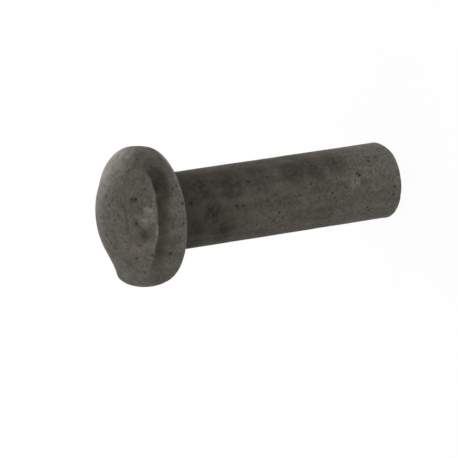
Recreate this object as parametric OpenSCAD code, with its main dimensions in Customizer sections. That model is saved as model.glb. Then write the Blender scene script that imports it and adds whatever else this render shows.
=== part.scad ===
// Solid steel rivet, headed cold from one piece of wire: a round shank, a bulged rim and a domed
// crown. It stands on its cut tail with the head up. Z runs along the shank, z = 0 is the flat of the
// tail, and the bearing face under the head is at z = shank_len. Lengths are millimetres.

/* [Shank] */
// Diameter of the shank
shank_d = 5.9; // [4:0.1:8]
// Length of the shank under the head
shank_len = 20; // [10:1:40]
// Fillet where the shank runs into the head
neck_fillet_r = 0.2; // [0.1:0.05:0.4]

/* [Tail] */
// Rounding of the tail's edge
tail_edge_r = 0.25; // [0.1:0.05:0.6]
// Depth of the shear's roll-over at the tail's +X side
rollover_h = 0.35; // [0.1:0.05:0.6]
// Width of the roll-over, measured in from the +X side
rollover_w = 1.5; // [0.8:0.1:2]

/* [Crown] */
// Height of the crown above the bearing face
head_h = 4.23; // [3.8:0.01:5]
// Radius of the crown's spherical middle
crown_r = 6.2; // [5.4:0.1:8]
// Slope of the flank in which the sphere runs out, in degrees
flank_slope = 37; // [32:1:40]
// Diameter of the crown's edge, where the flank ends
face_d = 9.2; // [8:0.1:12]

/* [Rim] */
// Diameter of the rim where it is widest
head_d = 10.6; // [10:0.1:14]
// Slope of the shoulder outside the crown's edge, in degrees
shoulder_slope = 47; // [42:1:55]
// Width of the shoulder, from the crown's edge to the rounded side
shoulder_w = 0.4; // [0.2:0.05:0.5]
// Radius of the rim's side in section, from the widest line down
side_r = 4.2; // [2.5:0.1:8]
// Rounding of the rim's edge at the bearing face
bearing_edge_r = 0.3; // [0.1:0.05:0.5]

/* [Lip] */
// Radius of the lip in section, swollen out of the rim on one side
lip_r = 0.5; // [0.3:0.05:0.6]
// Height of the lip's middle line on its axis, above the bearing face
lip_h = 1.28; // [1:0.01:1.4]
// Lean of the lip's ring, in degrees, which lifts it out of the rim
lip_lean = 7.6; // [0:0.2:9]
// Direction of the lip, in degrees from +X
lip_dir = 150; // [0:1:359]

/* [Hidden] */
$fn = 144;
shank_r = shank_d / 2;
head_r = head_d / 2;
face_r = face_d / 2;
// Depth to which the shank is let into the head
overlap = 0.5;
// Height of the crown's centre, below the bearing face
crown_z = head_h - crown_r;
// Radius and height where the sphere runs out into the flank
flank_top = [crown_r * sin(flank_slope), crown_z + crown_r * cos(flank_slope)];
// Radius and height of the crown's edge
face_edge = [face_r, flank_top[1] - (face_r - flank_top[0]) * tan(flank_slope)];
// Radius and height where the shoulder runs into the rounded side
shoulder_end = face_edge + [shoulder_w, -shoulder_w * tan(shoulder_slope)];
// Radius of the rounded side above the widest line, and that line's height
round_r = (head_r - shoulder_end[0]) / (1 - sin(shoulder_slope));
belly_h = shoulder_end[1] - round_r * cos(shoulder_slope);
// Centre of the rim's side in section
side_c = [head_r - side_r, belly_h];
// Centre of the bearing edge's rounding, tangent to the side and to the bearing face
bearing_rise = belly_h - bearing_edge_r;
bearing_run = sqrt(pow(side_r - bearing_edge_r, 2) - pow(bearing_rise, 2));
bearing_c = side_c + [bearing_run, -bearing_rise];
bearing_n = (bearing_c - side_c) / norm(bearing_c - side_c);

module shank_profile() {
    difference() {
        union() {
            translate([0, tail_edge_r])
                square([shank_r, shank_len + overlap - tail_edge_r]);
            square([shank_r - tail_edge_r, shank_len]);
            translate([shank_r - tail_edge_r, tail_edge_r])
                circle(r = tail_edge_r);
            translate([0, shank_len - neck_fillet_r])
                square([shank_r + neck_fillet_r, neck_fillet_r + overlap]);
        }
        translate([shank_r + neck_fillet_r, shank_len - neck_fillet_r])
            circle(r = neck_fillet_r);
    }
}

// Shank with its cut tail: the flat of the cut, and the side that the shear rolled over
module shank() {
    difference() {
        rotate_extrude()
            shank_profile();
        translate([shank_r - rollover_w, 0, 0])
            rotate([0, -atan(rollover_h / rollover_w), 0])
                translate([0, -shank_d, -shank_d])
                    cube([2 * shank_d, 2 * shank_d, shank_d]);
    }
}

// Half section of the rim from the bearing face up to its widest line
module side_profile() {
    difference() {
        intersection() {
            translate(side_c)
                circle(r = side_r);
            square([head_r, belly_h]);
        }
        polygon([
            bearing_c,
            bearing_c + 3 * bearing_edge_r * bearing_n,
            bearing_c + 3 * bearing_edge_r * (bearing_n + [0, -1]),
            bearing_c + [0, -3 * bearing_edge_r]
        ]);
    }
    translate(bearing_c)
        circle(r = bearing_edge_r);
}

// Half section from the widest line up: rounded side, shoulder, flank and the spherical middle
module crown_profile() {
    intersection() {
        translate([head_r - round_r, belly_h])
            circle(r = round_r);
        polygon([
            [0, belly_h],
            [head_r + 1, belly_h],
            [head_r + 1, shoulder_end[1]],
            [0, shoulder_end[1]]
        ]);
    }
    polygon([
        [0, belly_h],
        [shoulder_end[0], belly_h],
        shoulder_end,
        face_edge,
        flank_top,
        [0, flank_top[1]]
    ]);
    intersection() {
        translate([0, crown_z])
            circle(r = crown_r);
        translate([0, flank_top[1]])
            square([flank_top[0], head_h]);
    }
}

// Head without its lip
module head() {
    rotate_extrude() {
        side_profile();
        crown_profile();
    }
}

// Lip: a leaning ring that stands out of the rim on one side only
module lip() {
    translate([0, 0, lip_h])
        rotate([0, 0, lip_dir])
            rotate([0, -lip_lean, 0])
                rotate_extrude()
                    translate([face_r + 0.16, 0])
                        circle(r = lip_r);
}

module rivet() {
    color([0.30, 0.29, 0.27])
        union() {
            shank();
            translate([0, 0, shank_len]) {
                head();
                lip();
            }
        }
}

rivet();
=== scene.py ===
import bpy
import bmesh
import math
import random
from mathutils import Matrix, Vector, kdtree, noise


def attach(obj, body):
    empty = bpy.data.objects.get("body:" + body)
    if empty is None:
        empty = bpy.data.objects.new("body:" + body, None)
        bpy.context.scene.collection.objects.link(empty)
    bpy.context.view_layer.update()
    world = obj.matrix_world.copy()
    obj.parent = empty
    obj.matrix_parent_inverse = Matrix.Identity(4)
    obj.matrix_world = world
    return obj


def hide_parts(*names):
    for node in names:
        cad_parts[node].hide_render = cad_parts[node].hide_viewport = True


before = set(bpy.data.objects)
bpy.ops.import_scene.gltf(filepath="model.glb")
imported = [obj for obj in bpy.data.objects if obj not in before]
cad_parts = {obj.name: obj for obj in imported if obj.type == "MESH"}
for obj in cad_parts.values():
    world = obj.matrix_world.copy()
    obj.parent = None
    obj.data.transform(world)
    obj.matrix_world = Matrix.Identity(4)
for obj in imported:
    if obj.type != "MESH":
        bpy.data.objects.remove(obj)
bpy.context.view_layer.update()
scene = bpy.context.scene
scene.view_settings.view_transform = "Standard"
print("frame loaded:", sorted(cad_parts))

# the rivet's half section, in millimetres, with z = 0 at the flat of the cut tail
section = {
    "shankRadius": 2.95,
    "shankLength": 20.0,
    "neckFillet": 0.2,
    "tailEdge": 0.12,
    "headHeight": 4.24,
    "crownRadius": 6.2,
    "flankSlope": 37.0,
    "faceRadius": 4.6,  # crown's edge
    "shoulderSlope": 47.0,
    "shoulderWidth": 0.4,
    "rimRadius": 5.29,
    "sideRadius": 2.8,
    "bearingEdge": 0.36,
    "turns": 320,
    "steps": {  # how finely each stretch of the section is divided
        "crown": 44, "flank": 10, "shoulder": 6, "round": 10, "side": 10, "bearingEdge": 6,
        "bearingFace": 13, "neck": 5, "shank": 112, "tailEdge": 5, "tail": 19,
    },
    "mergeDistance": 0.0005,
}


def drawTo(bm, vert, radius, height, cuts, lines):
    line = bmesh.ops.extrude_vert_indiv(bm, verts=[vert])
    end = line["verts"][0]
    bmesh.ops.translate(bm, verts=[end], vec=Vector((radius, 0, height)) - end.co)
    lines.append((line["edges"], cuts))
    return end


def sweep(bm, vert, radius, height, degrees, steps):
    arc = bmesh.ops.spin(bm, geom=[vert], cent=(radius, 0, height), axis=(0, 1, 0),
                         angle=math.radians(degrees), steps=steps)
    return [g for g in arc["geom_last"] if isinstance(g, bmesh.types.BMVert)][0]


def turnRivet(s):
    bm = bmesh.new()
    steps = s["steps"]
    face = s["shankLength"]  # height of the bearing face
    apex = face + s["headHeight"]
    flank = math.radians(s["flankSlope"])
    shoulder = math.radians(s["shoulderSlope"])
    flankTop = apex - s["crownRadius"] * (1 - math.cos(flank))
    edge = flankTop - (s["faceRadius"] - s["crownRadius"] * math.sin(flank)) * math.tan(flank)
    shoulderEnd = s["faceRadius"] + s["shoulderWidth"]
    shoulderLow = edge - s["shoulderWidth"] * math.tan(shoulder)
    roundRadius = (s["rimRadius"] - shoulderEnd) / (1 - math.sin(shoulder))
    belly = shoulderLow - roundRadius * math.cos(shoulder)
    sideMid = s["rimRadius"] - s["sideRadius"]
    sideReach = s["sideRadius"] - s["bearingEdge"]
    sideTurn = math.asin((belly - face - s["bearingEdge"]) / sideReach)
    sideDegrees = math.degrees(sideTurn)
    neck = s["shankRadius"] + s["neckFillet"]
    lines = []
    pen = bm.verts.new((0, 0, apex))
    pen = sweep(bm, pen, 0, apex - s["crownRadius"], s["flankSlope"], steps["crown"])
    pen = drawTo(bm, pen, s["faceRadius"], edge, steps["flank"], lines)
    pen = drawTo(bm, pen, shoulderEnd, shoulderLow, steps["shoulder"], lines)
    pen = sweep(bm, pen, s["rimRadius"] - roundRadius, belly, 90 - s["shoulderSlope"],
                steps["round"])
    pen = sweep(bm, pen, sideMid, belly, sideDegrees, steps["side"])
    pen = sweep(bm, pen, sideMid + sideReach * math.cos(sideTurn), face + s["bearingEdge"],
                90 - sideDegrees, steps["bearingEdge"])
    pen = drawTo(bm, pen, neck, face, steps["bearingFace"], lines)
    pen = sweep(bm, pen, neck, face - s["neckFillet"], -90, steps["neck"])
    pen = drawTo(bm, pen, s["shankRadius"], s["tailEdge"], steps["shank"], lines)
    pen = sweep(bm, pen, s["shankRadius"] - s["tailEdge"], s["tailEdge"], 90, steps["tailEdge"])
    drawTo(bm, pen, 0, 0, steps["tail"], lines)
    for edges, cuts in lines:
        bmesh.ops.subdivide_edges(bm, edges=edges, cuts=cuts)
    bmesh.ops.spin(bm, geom=bm.verts[:] + bm.edges[:], cent=(0, 0, 0), axis=(0, 0, 1),
                   angle=2 * math.pi, steps=s["turns"], use_merge=True)
    bmesh.ops.remove_doubles(bm, verts=bm.verts, dist=s["mergeDistance"])
    bmesh.ops.recalc_face_normals(bm, faces=bm.faces)
    return bm


# what the heading tool and the shear left uneven: angles and their spreads in degrees from +X,
# heights over the bearing face, and for the tail over its flat
unevenness = {
    "swellFrom": 0.5,  # height at which the rim's swells begin
    "swellRise": 0.7,
    "swellInside": 3.6,  # the crown stays true inside this radius
    "lip": {  # metal swollen out of the rim
        "rise": 0.45,
        "at": 147.0,
        "steep": 10.0,  # spread on the side of the notch
        "run": 18.0,  # spread where the lip runs out
        "crest": 4.92,
        "crestDrift": 0.012,  # how far the crest moves out for each degree
        "driftEnd": 20,
        "inner": 0.4,
        "outer": 0.3,
    },
    # crown's edge worn round on the far side
    "fill": {"rise": 0.075, "at": 25.0, "spread": 48.0, "radius": 4.78, "width": 0.42},
    # band of that edge that is smoothed, where the fill is more than the least share
    "worn": {"least": 0.3, "inside": 4, "outside": 5.15, "above": 1.3, "passes": 14},
    # flank standing full beside the lip
    "brow": {"rise": 0.07, "at": 128.0, "spread": 22.0, "radius": 4.5, "width": 0.5},
    # rim standing full over the bearing face
    "full": {"rise": 0.06, "at": 312.0, "spread": 36.0, "radius": 4.2, "width": 0.6,
             "height": 0.3, "tall": 0.5, "from": -0.05},
    "edgePath": [(305, 28, 0.28), (228, 26, -0.13), (196, 15, 0.15)],  # angle, spread, slide
    "edgeWidth": 0.38,
    "edgeWander": 0.05,
    "cant": {"rise": 0.1, "from": 0.1, "over": 0.8},  # crown leaning up on its +X side
    "tail": {
        "top": 1,  # nothing above this height is touched
        "rollDepth": 0.35,  # on the side that the shear rolled over
        "rollWidth": 1.5,
        "rollCurve": 1.3,
        "fracture": 0.05,  # on the side that it tore
        "tornBelow": 0.12,
        "tornFrom": 0.6,
    },
    "waves": (0.03, 0.42),  # depth, and how many to the millimetre
    "ripples": (0.012, 1.7),
    "flatBelow": 0.05,  # neither reaches the tail's flat
    "flatFade": 0.4,
}


def clamp(value):
    return min(max(value, 0), 1)


def hump(value, at, spread):
    return math.exp(-((value - at) / spread) ** 2)


def turnHump(angle, at, spread):
    return hump((angle - at + 180) % 360 - 180, 0, spread)


def polar(co):
    return math.hypot(co.x, co.y), math.degrees(math.atan2(co.y, co.x)) % 360


def swellOf(form, angle, radius):
    around = turnHump(angle, form["at"], form["spread"])
    return form["rise"] * around * hump(radius, form["radius"], form["width"])


def lipSwell(lip, angle, radius):
    past = angle - lip["at"]
    around = hump(past, 0, lip["run"] if past > 0 else lip["steep"])
    crest = lip["crest"] + lip["crestDrift"] * min(max(past, 0), lip["driftEnd"])
    return lip["rise"] * around * hump(radius, crest, lip["inner" if radius < crest else "outer"])


def edgeSlide(u, s, co, angle, radius):
    slide = sum(far * turnHump(angle, at, spread) for at, spread, far in u["edgePath"])
    about = Vector((co.x, co.y, 0)) / radius
    slide += u["edgeWander"] * (noise.noise(about * 5) + 0.6 * noise.noise(about * 14))
    return slide * hump(radius, s["faceRadius"], u["edgeWidth"])


def rimFullness(full, angle, radius, height):
    if height <= full["from"]:
        return 0
    around = turnHump(angle, full["at"], full["spread"])
    across = clamp((radius - full["radius"]) / full["width"])
    return full["rise"] * around * hump(height, full["height"], full["tall"]) * across


def wearFarEdge(bm, s, fill, worn):
    soft = []
    for v in bm.verts:
        radius, angle = polar(v.co)
        onEdge = worn["inside"] < radius < worn["outside"]
        high = v.co.z > s["shankLength"] + worn["above"]
        if onEdge and high and turnHump(angle, fill["at"], fill["spread"]) > worn["least"]:
            soft.append(v)
    for step in range(worn["passes"]):
        bmesh.ops.smooth_vert(bm, verts=soft, factor=0.5,
                              use_axis_x=True, use_axis_y=True, use_axis_z=True)


def workHead(bm, s, u):
    bm.normal_update()
    drop = math.tan(math.radians(s["flankSlope"]))
    shifts = []
    edgeDistance = []
    for v in bm.verts:
        radius, angle = polar(v.co)
        height = v.co.z - s["shankLength"]
        swell = 0
        slide = 0
        if height > u["swellFrom"] and radius > u["swellInside"]:
            rise = min((height - u["swellFrom"]) / u["swellRise"], 1)
            swell += lipSwell(u["lip"], angle, radius) * rise
            swell += swellOf(u["fill"], angle, radius) * rise
            swell += swellOf(u["brow"], angle, radius)
            slide = edgeSlide(u, s, v.co, angle, radius) * rise
        share = max(radius, 1)
        out = Vector((v.co.x, v.co.y, -radius * drop)) / share  # down along the flank
        full = rimFullness(u["full"], angle, radius, height) / share
        lean = u["cant"]["rise"] * max(v.co.x / s["rimRadius"], 0)
        lean *= clamp((height - u["cant"]["from"]) / u["cant"]["over"])
        shift = v.normal * swell + out * slide
        shifts.append(shift + Vector((v.co.x * full, v.co.y * full, lean)))
        edgeDistance.append(radius - s["faceRadius"])
    for v, shift in zip(bm.verts, shifts):
        v.co += shift
    wearFarEdge(bm, s, u["fill"], u["worn"])
    # how far out of the crown's edge each point lies, kept for the painted shade, the painted
    # highlights and the wear
    layer = bm.verts.layers.float.new("edgeDistance")
    for v, distance in zip(bm.verts, edgeDistance):
        v[layer] = distance


def workTail(bm, s, tail):
    # rolled over on the +X side, torn by the shear on the other
    rollStart = s["shankRadius"] - tail["rollWidth"]
    for v in bm.verts:
        if v.co.z > tail["top"]:
            continue
        over = max((v.co.x - rollStart) / tail["rollWidth"], 0)
        v.co.z = max(v.co.z, tail["rollDepth"] * over ** tail["rollCurve"])
        if v.co.z < tail["tornBelow"]:
            torn = clamp(tail["tornFrom"] - v.co.x)
            streak = noise.noise(Vector((v.co.x * 0.9, v.co.y * 4, 3.1)))
            grit = noise.noise(v.co * 3.3)
            v.co.z += tail["fracture"] * torn * max(0.35 + 0.5 * streak + 0.5 * grit, 0)


def ageSurface(bm, u):
    # slow waves and finer ripples, only ever inwards
    bm.normal_update()
    shifts = []
    for v in bm.verts:
        sunk = sum(deep * (0.5 + 0.5 * noise.noise(v.co * often))
                   for deep, often in (u["waves"], u["ripples"]))
        standing = clamp((v.co.z - u["flatBelow"]) / u["flatFade"])
        shifts.append(v.normal * -sunk * standing)
    for v, shift in zip(bm.verts, shifts):
        v.co += shift


# marks set one by one: angle from +X, radius, height and size in millimetres, strength;
# on the shank the radius is the shank's own
marks = {
    "pits": {
        "head": [
            (294, 3.26, 23.29, 0.24, 1), (291, 3.49, 23.13, 0.2, 1), (278, 4.32, 22.51, 0.22, 1),
            (328, 1.31, 24.08, 0.18, 0.8), (59, 0.8, 24.17, 0.2, 0.8),
            (178, 1.61, 24.01, 0.25, 0.8), (261, 3.23, 23.31, 0.22, 0.9),
            (232, 3.5, 23.13, 0.2, 0.8), (227, 4.35, 22.48, 0.22, 0.9),
            (211, 3.6, 23.07, 0.2, 0.9), (200, 4.46, 22.41, 0.22, 0.9),
            (288, 5.24, 20.95, 0.2, 0.8), (275, 5.13, 20.39, 0.22, 0.9),
            (234, 5.27, 21.48, 0.22, 1), (259, 5.17, 20.53, 0.2, 0.8),
            (0, 4.77, 22.3, 0.26, 1), (330, 3.92, 22.83, 0.2, 0.6),
        ],
        "shank": [
            (297, 13.2, 0.24, 1), (278, 18.42, 0.26, 1), (283, 12.48, 0.18, 0.9),
            (285, 3.72, 0.18, 1), (281, 3.55, 0.2, 1), (280, 7.96, 0.2, 0.9),
            (261, 6.19, 0.17, 0.9), (253, 6.03, 0.15, 0.9), (246, 5.84, 0.15, 0.9),
            (263, 14.53, 0.22, 0.9), (302, 2.45, 0.18, 0.9), (256, 0.64, 0.22, 0.8),
            (223, 2.73, 0.22, 0.8), (272, 7.6, 0.15, 0.7), (258, 7.4, 0.14, 0.7),
            (267, 5.0, 0.15, 0.7), (262, 14.1, 0.17, 0.8), (300, 11.4, 0.16, 0.7),
            (234, 10.6, 0.15, 0.7), (307, 1.7, 0.16, 0.7),
        ],
    },
    "stainsAndShade": {
        "head": [
            (247, 3.8, 22.9, 0.7, 1), (261, 3.2, 23.3, 0.4, 0.5), (292, 3.35, 23.2, 0.4, 0.5),
            (155, 3.11, 23.39, 0.16, 0.5), (170, 3.0, 23.45, 0.16, 0.5),
            (184, 2.99, 23.46, 0.16, 0.5), (190, 3.25, 23.3, 0.16, 0.5),
            (195, 3.59, 23.08, 0.16, 0.5),
        ],
        # on the shank these dark patches are painted shade: the row near 300° is the shade band
        # along the upper side, those nearest the head the head's shadow
        "shank": [
            (300, 17.2, 2.0, 0.85), (298, 14.7, 1.9, 0.75), (281, 18.4, 1.6, 0.8),
            (258, 16.6, 1.5, 0.9), (225, 15.7, 1.6, 0.8), (240, 18.2, 1.2, 0.8),
            (301, 12.0, 1.6, 0.6), (299, 9.2, 1.5, 0.75), (304, 7.2, 1.4, 0.75),
            (308, 5.4, 1.3, 0.75),
        ],
    },
    "scuffsAndPaintedLight": {
        "head": [
            (273, 4.12, 22.67, 0.55, 0.8), (264, 3.79, 22.93, 0.45, 0.6),
            (266, 4.37, 22.46, 0.4, 0.6), (279, 4.4, 22.46, 0.25, 0.5),
        ],
        # on the shank the small scuff at 271° is wear; the broad faint patches at 258° and 250° are
        # painted light on the middle of the near side
        "shank": [(271, 4.1, 0.6, 0.7), (258, 11.6, 3.0, 0.1), (250, 8.6, 2.8, 0.1)],
    },
    "scattered": 240,
    "scatterSize": (0.08, 0.2),
    "scatterDepth": (0.2, 0.6),
    "scatterFrom": 0.3,  # above the tail's edge
    "scatterThin": 5,  # fewer within this radius, where the mesh is denser
    "pitDepth": 0.025,
    "seed": 11,
}


def spot(angle, radius, height):
    turn = math.radians(angle)
    return Vector((radius * math.cos(turn), radius * math.sin(turn), height))


def placesOf(kind, s, m):
    onShank = [(angle, s["shankRadius"], *rest) for angle, *rest in m[kind]["shank"]]
    return [(spot(*mark[:3]), *mark[3:]) for mark in m[kind]["head"] + onShank]


def choosePits(bm, s, m):
    luck = random.Random(m["seed"])
    pits = placesOf("pits", s, m)
    wanted = len(pits) + m["scattered"]
    while len(pits) < wanted:
        v = bm.verts[luck.randrange(len(bm.verts))]
        kept = math.hypot(v.co.x, v.co.y) > luck.uniform(0, m["scatterThin"])
        if kept and v.co.z > m["scatterFrom"]:
            size = luck.uniform(*m["scatterSize"])
            pits.append((v.co.copy(), size, luck.uniform(*m["scatterDepth"])))
    return pits


def placeMarks(bm, s, m):
    pit, stainAndShade, rubAndHighlight = [bm.verts.layers.float.new(name) for name in ("pit", "stainAndShade", "rubAndHighlight")]
    bm.verts.ensure_lookup_table()
    finder = kdtree.KDTree(len(bm.verts))
    for i, v in enumerate(bm.verts):
        finder.insert(v.co, i)
    finder.balance()
    for place, size, depth in choosePits(bm, s, m):
        place = finder.find(place)[0]
        for co, i, away in finder.find_range(place, size):
            away = min(away * (1 + 0.5 * noise.noise(co * 9)), size)
            fall = (1 - (away / size) ** 2) ** 2
            bm.verts[i][pit] = max(bm.verts[i][pit], fall * depth)
    for kind, layer in (("stainsAndShade", stainAndShade), ("scuffsAndPaintedLight", rubAndHighlight)):
        for place, size, strength in placesOf(kind, s, m):
            place = finder.find(place)[0]
            for co, i, away in finder.find_range(place, size):
                patch = 0.85 + 0.7 * noise.noise(co * 3.5)
                fall = (1 - (away / size) ** 2) * clamp(patch) * strength
                bm.verts[i][layer] = max(bm.verts[i][layer], fall)


# stains, wear, painted shade and painted light that follow the form: amounts from 0 to 1, angles
# with their spreads in degrees from +X, heights over the bearing face, and for the tail over its
# flat
wear = {
    "crisp": (260, 58),  # the crown's edge is crisp on one side only
    "creaseShade": {  # painted shade on the shoulder, darkening the crease against the crown's edge
        "above": 1,
        "outside": 4,
        "deep": (295, 22),
        "heavy": (232, 13),
        "softAbove": (296, 26),  # its edge runs soft from here, over so many degrees
        "softBelow": (226, 30),
        "top": 2.3,
        "reach": 0.75,
        "deepReach": 0.75,
        "fade": 0.55,
        "least": 0.5,
        "heavyMore": 0.45,
        "deepMore": 0.75,
    },
    "handled": {  # the whole head, the side of its rim most
        "above": 0.1,
        "all": 0.15,
        "side": 0.2,
        "sideTop": 1.8,
        "sideFade": 0.7,
        "edge": 0.03,
        "spared": (306, 22),
        "sparedLess": 0.7,
        "lip": (152, 14),
        "lipMore": 0.16,
        "lipPast": (0.3, 0.4),
    },
    "edge": {  # painted highlight on the crown's edge: a faint strip on the crisp side and a bright line near 253°
        "above": 2,
        "band": (-0.4, 0.02),
        "dull": 0.3,
        "dullPast": (-0.06, 0.18),
        "highlight": 0.9,
        "highlightPast": (0, 0.05),
        "highlightAt": (253, 6),
    },
    # faint ring from the heading tool
    "ring": {"above": 3, "start": 240, "end": 315, "amount": 0.75, "radius": 2.45, "width": 0.1},
    "scale": {"inside": 3.3, "amount": 0.8, "fade": 4},  # painted shade: darker on the shank under the head, where the head's shadow falls
    "tail": {  # painted light: lighter towards the tail, most on the upper side near 320°, and a painted highlight along the tail's edge
        "below": 8,
        "fade": 7,
        "outside": 2,
        "all": 0.23,
        "more": 0.2,
        "moreAt": (320, 40),
        "rim": 0.3,
        "rimTall": 0.5,
    },
    "bearing": {  # edge wear all round the bearing edge, with a painted highlight strongest near 322°
        "below": 0.5,
        "outside": 4.7,
        "all": 0.2,
        "moreAt": (322, 28),
        "height": (0.2, 0.24),
    },
}


# painted shade: darkens the shoulder in the crease beside the crown's edge, most near 295° and 232°
def shoulderCreaseShade(d, co, angle, height, past, crisp):
    deep = turnHump(angle, *d["deep"])
    soft = clamp(max((angle - d["softAbove"][0]) / d["softAbove"][1],
                     (d["softBelow"][0] - angle) / d["softBelow"][1]))
    creaseShade = clamp((past + 0.02 + 0.2 * soft) / (0.04 + 0.4 * soft))
    down = d["top"] - height
    creaseShade *= clamp((d["reach"] + d["deepReach"] * deep - down) / d["fade"])
    creaseShade *= 0.85 + 0.4 * noise.noise(co * 1.4)
    much = d["least"] + d["heavyMore"] * turnHump(angle, *d["heavy"]) + d["deepMore"] * deep
    return much * creaseShade * max(crisp, deep)


def handledRub(h, co, angle, height, past, crisp):
    paleWearAndHighlight = h["all"]
    if past > h["edge"]:
        side = h["side"] * clamp((h["sideTop"] - height) / h["sideFade"])
        paleWearAndHighlight = side * crisp + h["all"] * (1 - crisp)
    paleWearAndHighlight *= 1 - h["sparedLess"] * turnHump(angle, *h["spared"])
    paleWearAndHighlight += h["lipMore"] * turnHump(angle, *h["lip"]) * hump(past, *h["lipPast"])
    return paleWearAndHighlight * (1 + 0.8 * noise.noise(co * 1.1))


# painted highlight along the crown's edge
def edgeHighlight(e, angle, past, crisp):
    dull = e["dull"] * hump(past, *e["dullPast"]) * crisp
    highlight = e["highlight"] * hump(past, *e["highlightPast"]) * turnHump(angle, *e["highlightAt"])
    return max(dull, highlight)


def ringStain(r, angle, radius):
    run = math.sin(math.pi * (angle - r["start"]) / (r["end"] - r["start"]))
    return r["amount"] * hump(radius, r["radius"], r["width"]) * run


# edge wear all round, with a painted highlight strongest near 322°
def bearingWearAndHighlight(b, co, angle, height):
    worn = b["all"] + turnHump(angle, *b["moreAt"])
    return worn * hump(height, *b["height"]) * (0.85 + 0.5 * noise.noise(co * 1.3))


def wearSurface(bm, s, w):
    stainAndShade, rubAndHighlight, edge = [bm.verts.layers.float[name] for name in ("stainAndShade", "rubAndHighlight", "edgeDistance")]
    creaseShade, handled, highlight, ring = w["creaseShade"], w["handled"], w["edge"], w["ring"]
    scale, tail, bearing = w["scale"], w["tail"], w["bearing"]
    for v in bm.verts:
        radius, angle = polar(v.co)
        height = v.co.z - s["shankLength"]
        past = v[edge]
        crisp = turnHump(angle, *w["crisp"])
        stainsAndShade = [v[stainAndShade]]
        rubsAndHighlights = [v[rubAndHighlight]]
        # painted shade in the crease beside the crown's edge
        if height > creaseShade["above"] and radius > creaseShade["outside"]:
            stainsAndShade.append(shoulderCreaseShade(creaseShade, v.co, angle, height, past, crisp))
        if height > handled["above"]:
            rubsAndHighlights.append(handledRub(handled, v.co, angle, height, past, crisp))
        # painted highlight along the crown's edge
        if height > highlight["above"] and highlight["band"][0] < past < highlight["band"][1]:
            rubsAndHighlights.append(edgeHighlight(highlight, angle, past, crisp))
        if height > ring["above"] and ring["start"] < angle < ring["end"]:
            stainsAndShade.append(ringStain(ring, angle, radius))
        # painted shade: the head's shadow on the shank, fading away from the bearing face
        if height < 0 and radius < scale["inside"]:
            stainsAndShade.append(scale["amount"] * math.exp(height / scale["fade"]))
        # wear and painted highlight along the bearing edge
        if 0 < height < bearing["below"] and radius > bearing["outside"]:
            rubsAndHighlights.append(bearingWearAndHighlight(bearing, v.co, angle, height))
        v[stainAndShade] = max(stainsAndShade)
        v[rubAndHighlight] = max(rubsAndHighlights)
        # painted light: lighter towards the tail, with a painted highlight at its edge
        if v.co.z < tail["below"] and radius > tail["outside"]:
            tailLight = tail["all"] + tail["more"] * turnHump(angle, *tail["moreAt"])
            v[rubAndHighlight] = max(v[rubAndHighlight], tailLight * min((tail["below"] - v.co.z) / tail["fade"], 1))
            v[rubAndHighlight] += tail["rim"] * hump(v.co.z, 0, tail["rimTall"])


def markSurface(bm, s, m, w):
    bm.normal_update()
    placeMarks(bm, s, m)
    wearSurface(bm, s, w)
    pit = bm.verts.layers.float["pit"]
    for v in bm.verts:
        v.co -= v.normal * m["pitDepth"] * v[pit]


bm = turnRivet(section)
print("turned form:", len(bm.verts), "vertices,", len(bm.faces), "faces")
workHead(bm, section, unevenness)
workTail(bm, section, unevenness["tail"])
ageSurface(bm, unevenness)
markSurface(bm, section, marks, wear)
bmesh.ops.scale(bm, vec=(0.001, 0.001, 0.001), verts=bm.verts)  # millimetres to metres
rivetMesh = bpy.data.meshes.new("rivet_body")
bm.to_mesh(rivetMesh)
bm.free()
rivetMesh.shade_smooth()
rivetBody = bpy.data.objects.new("rivet_body", rivetMesh)
scene.collection.objects.link(rivetBody)
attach(rivetBody, "root")
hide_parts("rivet")
print("rivet worked and marked")

oldSteel = {
    "scaleDark": (0.033, 0.0285, 0.021, 1),
    "steelMid": (0.084, 0.076, 0.063, 1),
    "steelPale": (0.15, 0.138, 0.117, 1),
    # pale tone for wear, also laid as painted highlights and painted light
    "paleWearAndHighlight": (0.262, 0.248, 0.218, 1),
    # dark tone for stains, flecks and painted shade
    "stainAndShadeDark": (0.016, 0.013, 0.009, 1),
    "pitDark": (0.012, 0.010, 0.008, 1),
    "tones": (0.26, 0.5, 0.76),  # where the dark, the middle and the pale tone lie
    "metallic": 0.12,
    "specular": 0.05,
    "roughest": 0.8,
    "smoothest": 0.6,
    "pinholes": 0.8,
    "flecks": 0.5,
    "grit": 0.25,
    "gritDepth": 0.00003,
}
# sockets of a Mix node that mixes colours
mixUnder, mixOver, mixResult = 6, 7, 2


def put(tree, kind, x, y, inputs=None, **settings):
    n = tree.nodes.new(kind)
    n.location = (x, y)
    for name, value in settings.items():
        setattr(n, name, value)
    for entry, value in (inputs or {}).items():
        n.inputs[entry].default_value = value
    return n


def join(tree, source, output, target, entry):
    tree.links.new(source.outputs[output], target.inputs[entry])


def startGroup(name, entries, results):
    # an entry without a value takes a vector
    tree = bpy.data.node_groups.new(name, "ShaderNodeTree")
    for label, value in entries.items():
        kind = "NodeSocketVector" if value is None else "NodeSocketFloat"
        socket = tree.interface.new_socket(label, in_out="INPUT", socket_type=kind)
        if value is not None:
            socket.default_value = value
    for label in results:
        tree.interface.new_socket(label, in_out="OUTPUT", socket_type="NodeSocketFloat")
    return tree


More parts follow.
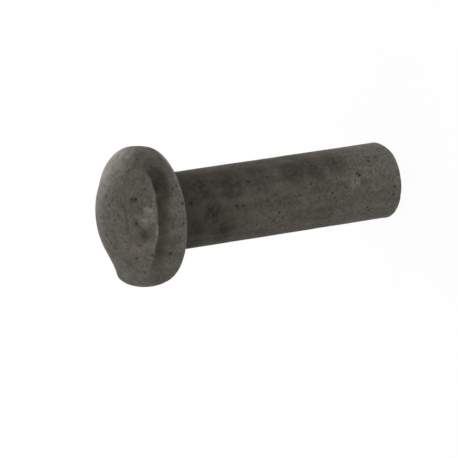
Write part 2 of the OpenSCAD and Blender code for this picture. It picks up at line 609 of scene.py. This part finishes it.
def makeCloudGroup():
    tree = startGroup("cloudy tone", {"Vector": None, "Patch": 0.7, "Grain": 5.0},
                      ("Tone", "Grit"))
    entry = put(tree, "NodeGroupInput", -900, 0)
    patch = put(tree, "ShaderNodeTexNoise", -450, 300, {"Detail": 4, "Roughness": 0.6})
    grain = put(tree, "ShaderNodeTexNoise", -450, 0, {"Detail": 4})
    # streaks run along the shank
    drawn = put(tree, "ShaderNodeMapping", -650, -300, {"Scale": (1.9, 1.9, 0.2)})
    streak = put(tree, "ShaderNodeTexNoise", -450, -300, {"Scale": 1, "Detail": 3})
    blend = put(tree, "ShaderNodeMix", -150, 200, {"Factor": 0.6}, data_type="FLOAT")
    streaked = put(tree, "ShaderNodeMix", 50, 100, {"Factor": 0.3}, data_type="FLOAT")
    result = put(tree, "NodeGroupOutput", 300, 0)
    for texture in (patch, grain, drawn):
        join(tree, entry, "Vector", texture, "Vector")
    join(tree, drawn, "Vector", streak, "Vector")
    join(tree, entry, "Patch", patch, "Scale")
    join(tree, entry, "Grain", grain, "Scale")
    join(tree, patch, "Fac", blend, "A")
    join(tree, grain, "Fac", blend, "B")
    join(tree, blend, "Result", streaked, "A")
    join(tree, streak, "Fac", streaked, "B")
    join(tree, streaked, "Result", result, "Tone")
    join(tree, grain, "Fac", result, "Grit")
    return tree


def makeBrokenGroup():
    # a mask whose edge the grit breaks up
    values = dict.fromkeys(("Mask", "Grit", "Ragged", "Start", "Full", "Most"), 0.0)
    tree = startGroup("broken mask", values, ("Amount",))
    entry = put(tree, "NodeGroupInput", -700, 0)
    centred = put(tree, "ShaderNodeMath", -500, -150, {1: 0.5}, operation="SUBTRACT")
    wilder = put(tree, "ShaderNodeMath", -340, -150, operation="MULTIPLY")
    about = put(tree, "ShaderNodeMath", -180, -150, {1: 1}, operation="ADD")
    broken = put(tree, "ShaderNodeMath", -20, 0, operation="MULTIPLY")
    limits = put(tree, "ShaderNodeMapRange", 150, 0)
    result = put(tree, "NodeGroupOutput", 350, 0)
    join(tree, entry, "Grit", centred, 0)
    join(tree, centred, 0, wilder, 0)
    join(tree, entry, "Ragged", wilder, 1)
    join(tree, wilder, 0, about, 0)
    join(tree, entry, "Mask", broken, 0)
    join(tree, about, 0, broken, 1)
    join(tree, broken, 0, limits, "Value")
    join(tree, entry, "Start", limits, "From Min")
    join(tree, entry, "Full", limits, "From Max")
    join(tree, entry, "Most", limits, "To Max")
    join(tree, limits, "Result", result, "Amount")
    return tree


def makeFleckGroup():
    tree = startGroup("flecks", {"Vector": None, "Count": 2.6}, ("Flecks",))
    entry = put(tree, "NodeGroupInput", -700, 0)
    fine = put(tree, "ShaderNodeTexNoise", -500, 100, {"Detail": 3, "Roughness": 0.6})
    # only the peaks of the noise
    only = put(tree, "ShaderNodeMapRange", -300, 100, {"From Min": 0.6, "From Max": 0.72})
    herds = put(tree, "ShaderNodeTexNoise", -500, -200, {"Scale": 0.45})
    where = put(tree, "ShaderNodeMapRange", -300, -200,
                {"From Min": 0.35, "From Max": 0.6, "To Min": 0.25})
    flecks = put(tree, "ShaderNodeMath", -100, 0, operation="MULTIPLY")
    result = put(tree, "NodeGroupOutput", 100, 0)
    join(tree, entry, "Vector", fine, "Vector")
    join(tree, entry, "Count", fine, "Scale")
    join(tree, entry, "Vector", herds, "Vector")
    join(tree, fine, "Fac", only, "Value")
    join(tree, herds, "Fac", where, "Value")
    join(tree, only, "Result", flecks, 0)
    join(tree, where, "Result", flecks, 1)
    join(tree, flecks, 0, result, "Flecks")
    return tree


def makePinholeGroup():
    tree = startGroup("pinholes", {"Vector": None, "Count": 1.6}, ("Holes",))
    entry = put(tree, "NodeGroupInput", -700, 0)
    cells = put(tree, "ShaderNodeTexVoronoi", -500, 0)
    pick = put(tree, "ShaderNodeSeparateColor", -300, -150)
    # only some cells hold a hole
    size = put(tree, "ShaderNodeMapRange", -120, -150,
               {"From Min": 0.55, "From Max": 1.0, "To Min": 0.0, "To Max": 0.2})
    hole = put(tree, "ShaderNodeMath", 60, 0, operation="SUBTRACT")
    sharp = put(tree, "ShaderNodeMath", 220, 0, {1: 14}, operation="MULTIPLY", use_clamp=True)
    result = put(tree, "NodeGroupOutput", 400, 0)
    join(tree, entry, "Vector", cells, "Vector")
    join(tree, entry, "Count", cells, "Scale")
    join(tree, cells, "Color", pick, "Color")
    join(tree, pick, "Red", size, "Value")
    join(tree, size, "Result", hole, 0)
    join(tree, cells, "Distance", hole, 1)
    join(tree, hole, 0, sharp, 0)
    join(tree, sharp, 0, result, "Holes")
    return tree


def layOver(tree, under, amount, shade, x):
    over = put(tree, "ShaderNodeMix", x, 150, {mixOver: shade}, data_type="RGBA")
    tree.links.new(amount, over.inputs["Factor"])
    tree.links.new(under, over.inputs[mixUnder])
    return over.outputs[mixResult]


def makeOldSteel(s, cloudGroup, brokenGroup, fleckGroup, pinholeGroup):
    mat = bpy.data.materials.new("old dark steel")
    mat.use_nodes = True
    tree = mat.node_tree
    skin = tree.nodes["Principled BSDF"]
    skin.inputs["Metallic"].default_value = s["metallic"]
    skin.inputs["Specular IOR Level"].default_value = s["specular"]
    place = put(tree, "ShaderNodeTexCoord", -1500, 0)
    inMm = put(tree, "ShaderNodeMapping", -1300, 0, {"Scale": (1000, 1000, 1000)})
    cloud = put(tree, "ShaderNodeGroup", -1050, 0, node_tree=cloudGroup)
    tone = put(tree, "ShaderNodeValToRGB", -800, 150)
    dark, pale = tone.color_ramp.elements
    dark.position, dark.color = s["tones"][0], s["scaleDark"]
    pale.position, pale.color = s["tones"][2], s["steelPale"]
    tone.color_ramp.elements.new(s["tones"][1]).color = s["steelMid"]
    join(tree, place, "Object", inMm, "Vector")
    join(tree, inMm, "Vector", cloud, "Vector")
    join(tree, cloud, "Tone", tone, "Fac")
    colour = tone.outputs["Color"]
    # each layer: its colour, how ragged it is, where it starts and is full, and its most
    layers = (
        # the stain layer also lays the painted shade
        ("stainAndShade", s["stainAndShadeDark"], 1.5, 0.0, 1.0, 0.92),
        # the rub layer also lays the painted highlights and painted light
        ("rubAndHighlight", s["paleWearAndHighlight"], 2.6, 0.0, 1.0, 0.7),
        ("pit", s["pitDark"], 4.0, 0.1, 0.9, 0.9),
    )
    for step, (name, shade, ragged, start, full, most) in enumerate(layers):
        x = -450 + 300 * step
        mask = put(tree, "ShaderNodeAttribute", x, -250, attribute_name=name)
        amount = put(tree, "ShaderNodeGroup", x + 150, -250, node_tree=brokenGroup)
        for entry, value in (("Ragged", ragged), ("Start", start), ("Full", full), ("Most", most)):
            amount.inputs[entry].default_value = value
        join(tree, mask, "Fac", amount, "Mask")
        join(tree, cloud, "Grit", amount, "Grit")
        colour = layOver(tree, colour, amount.outputs["Amount"], shade, x + 300)
    spots = ((fleckGroup, s["flecks"], s["stainAndShadeDark"]), (pinholeGroup, s["pinholes"], s["pitDark"]))
    for step, (group, share, shade) in enumerate(spots):
        x = -100 + 300 * step
        dots = put(tree, "ShaderNodeGroup", x, 450, node_tree=group)
        amount = put(tree, "ShaderNodeMath", x + 150, 450, {1: share}, operation="MULTIPLY")
        join(tree, inMm, "Vector", dots, "Vector")
        join(tree, dots, 0, amount, 0)
        colour = layOver(tree, colour, amount.outputs[0], shade, x + 650)
    tree.links.new(colour, skin.inputs["Base Color"])
    rough = put(tree, "ShaderNodeMapRange", -300, -500,
                {"From Min": 0.3, "From Max": 0.7,
                 "To Min": s["roughest"], "To Max": s["smoothest"]})
    join(tree, cloud, "Tone", rough, "Value")
    join(tree, rough, "Result", skin, "Roughness")
    bump = put(tree, "ShaderNodeBump", -100, -700,
               {"Strength": s["grit"], "Distance": s["gritDepth"]})
    join(tree, cloud, "Grit", bump, "Height")
    join(tree, bump, "Normal", skin, "Normal")
    return mat


rivetMesh.materials.append(makeOldSteel(oldSteel, makeCloudGroup(), makeBrokenGroup(),
                                        makeFleckGroup(), makePinholeGroup()))
print("steel dressed")

studio = {
    "floorSize": 1.0,
    "floorWhite": 0.9,
    "backgroundShare": 0.95,  # part of the floor's white that shadows don't reach
    "world": 0.265,
    "lamps": {  # place, aim height, width, power
        "key": ((0.105, 0.17, 0.010), 0.013, 0.10, 0.65),
        "front": ((0.0, -0.27, 0.05), 0.013, 0.20, 0.31),
        "top": ((-0.02, 0.06, 0.29), 0.013, 0.42, 0.8),
    },
}


def seenDirectly(tree):
    # 1 for what the camera sees, also in metal and glass
    ray = put(tree, "ShaderNodeLightPath", -900, 200)
    seen = put(tree, "ShaderNodeMath", -700, 200, operation="MAXIMUM")
    seenToo = put(tree, "ShaderNodeMath", -550, 200, operation="MAXIMUM")
    join(tree, ray, "Is Camera Ray", seen, 0)
    join(tree, ray, "Is Glossy Ray", seen, 1)
    join(tree, seen, 0, seenToo, 0)
    join(tree, ray, "Is Transmission Ray", seenToo, 1)
    return seenToo


def layFloor(t):
    bm = bmesh.new()
    bmesh.ops.create_grid(bm, x_segments=1, y_segments=1, size=t["floorSize"])
    floorMesh = bpy.data.meshes.new("floor")
    bm.to_mesh(floorMesh)
    bm.free()
    floor = bpy.data.objects.new("floor", floorMesh)
    scene.collection.objects.link(floor)
    mat = bpy.data.materials.new("pale floor")
    mat.use_nodes = True
    tree = mat.node_tree
    tree.nodes.remove(tree.nodes["Principled BSDF"])
    out = tree.nodes["Material Output"]
    white = t["floorWhite"]
    paint = put(tree, "ShaderNodeBsdfDiffuse", -400, -100, {"Color": (white, white, white, 1)})
    glow = put(tree, "ShaderNodeEmission", -400, -250)
    share = put(tree, "ShaderNodeMath", -400, 200, {1: t["backgroundShare"]}, operation="MULTIPLY")
    blend = put(tree, "ShaderNodeMixShader", -150, 0)
    join(tree, seenDirectly(tree), 0, share, 0)
    join(tree, share, 0, blend, 0)
    join(tree, paint, "BSDF", blend, 1)
    join(tree, glow, "Emission", blend, 2)
    join(tree, blend, "Shader", out, "Surface")
    floorMesh.materials.append(mat)


def hangLamp(name, place, aim, width, power):
    lamp = bpy.data.lights.new(name, "AREA")
    lamp.energy = power
    lamp.size = width
    stand = bpy.data.objects.new(name, lamp)
    stand.location = place
    toRivet = Vector((0, 0, aim)) - Vector(place)
    stand.rotation_euler = toRivet.to_track_quat("-Z", "Y").to_euler()
    scene.collection.objects.link(stand)


layFloor(studio)
for lampName, lampSet in studio["lamps"].items():
    hangLamp(lampName, *lampSet)
world = bpy.data.worlds.new("room")
world.use_nodes = True
air = world.node_tree.nodes["Background"]
air.inputs["Color"].default_value = (1, 1, 1, 1)
level = put(world.node_tree, "ShaderNodeMapRange", -250, 100, {"To Min": studio["world"]})
join(world.node_tree, seenDirectly(world.node_tree), 0, level, "Value")
join(world.node_tree, level, "Result", air, "Strength")
scene.world = world

view = {
    "lens": 306.767,
    "sensor": 36,
    "place": (-0.001938, -0.257124, 0.157033),
    "turn": (-15.5166, 59.6938, -107.827),  # rolled, so the head points left
    "farthest": 10,
}
lensData = bpy.data.cameras.new("camera")
lensData.lens = view["lens"]
lensData.sensor_width = view["sensor"]
lensData.clip_end = view["farthest"]
camera = bpy.data.objects.new("camera", lensData)
camera.location = view["place"]
camera.rotation_euler = [math.radians(a) for a in view["turn"]]
scene.collection.objects.link(camera)
scene.camera = camera
print("floor, lamps and camera set")
